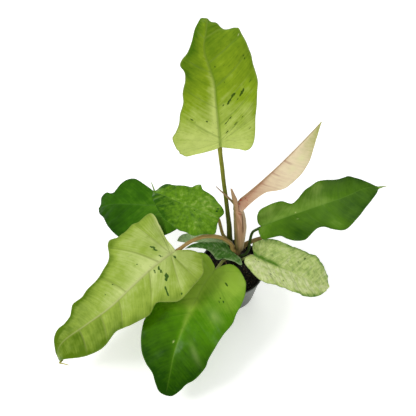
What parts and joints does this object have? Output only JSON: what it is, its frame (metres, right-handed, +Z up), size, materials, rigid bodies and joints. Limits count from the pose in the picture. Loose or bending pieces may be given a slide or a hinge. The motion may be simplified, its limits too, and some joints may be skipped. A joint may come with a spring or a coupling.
{
  "type": "potted snowdrift philodendron",
  "caption": "Potted aroid house plant with large lobed leaves on arching stalks, a folded new leaf in a papery sheath, and a round nursery pot of soil.",
  "frame": {"origin": "middle of the pot's flat underside, where it meets the surface that it stands on", "axes": "+Z up along the pot's axis; +X to the right and +Y away from a viewer in front of the front leaf"},
  "size_m": [0.5221, 0.3757, 0.4685],
  "materials": {
    "pot": "grey-green nursery pot plastic, black inside",
    "soil": "moist dark potting mix with bark and perlite",
    "stem": "scarred plant stem",
    "sheath": "papery drying leaf sheath",
    "stalk_green": "smooth green leaf stalk",
    "stalk_olive": "smooth pale olive leaf stalk",
    "stalk_tan": "smooth tan leaf stalk",
    "stalk_pink": "young pink leaf stalk",
    "dry_stalk": "dry brown leaf stalk",
    "leaf_lime": "smooth leathery leaf, lime green with dark flecks",
    "leaf_cream": "smooth leathery leaf, cream flushed with pink",
    "leaf_dark": "smooth leathery leaf, dark green",
    "leaf_pale": "smooth leathery leaf, pale green mottled with white",
    "leaf_fresh": "smooth leathery leaf, fresh green",
    "leaf_pale_lime": "smooth leathery leaf, pale lime with green streaks",
    "leaf_deep": "smooth leathery leaf, deep green",
    "leaf_mottled": "smooth leathery leaf, mottled mid green",
    "leaf_blue": "smooth leathery leaf, dull blue-green",
    "leaf_grey": "smooth leathery leaf, dull grey-green"
  },
  "bodies": {
    "root": {"pot": "pot", "soil": "soil", "stem": "stem", "stalk_1": "stalk_olive", "stalk_3": "stalk_green", "stalk_4": "stalk_olive", "stalk_5": "stalk_olive", "stalk_6": "stalk_tan", "stalk_7": "stalk_green", "stalk_8": "dry_stalk", "stalk_9": "stalk_green", "stalk_10": "stalk_olive", "old_stalk": "dry_stalk", "dry_sliver": "dry_stalk", "stalk_2": "stalk_pink", "sheath_left": "sheath", "sheath_right": "sheath", "leaf_1": "leaf_lime", "leaf_2": "leaf_cream", "leaf_3": "leaf_dark", "leaf_4": "leaf_pale", "leaf_5": "leaf_fresh", "leaf_6": "leaf_pale_lime", "leaf_7": "leaf_deep", "leaf_8": "leaf_mottled", "leaf_9": "leaf_blue", "leaf_10": "leaf_grey"}
  },
  "joints": []
}
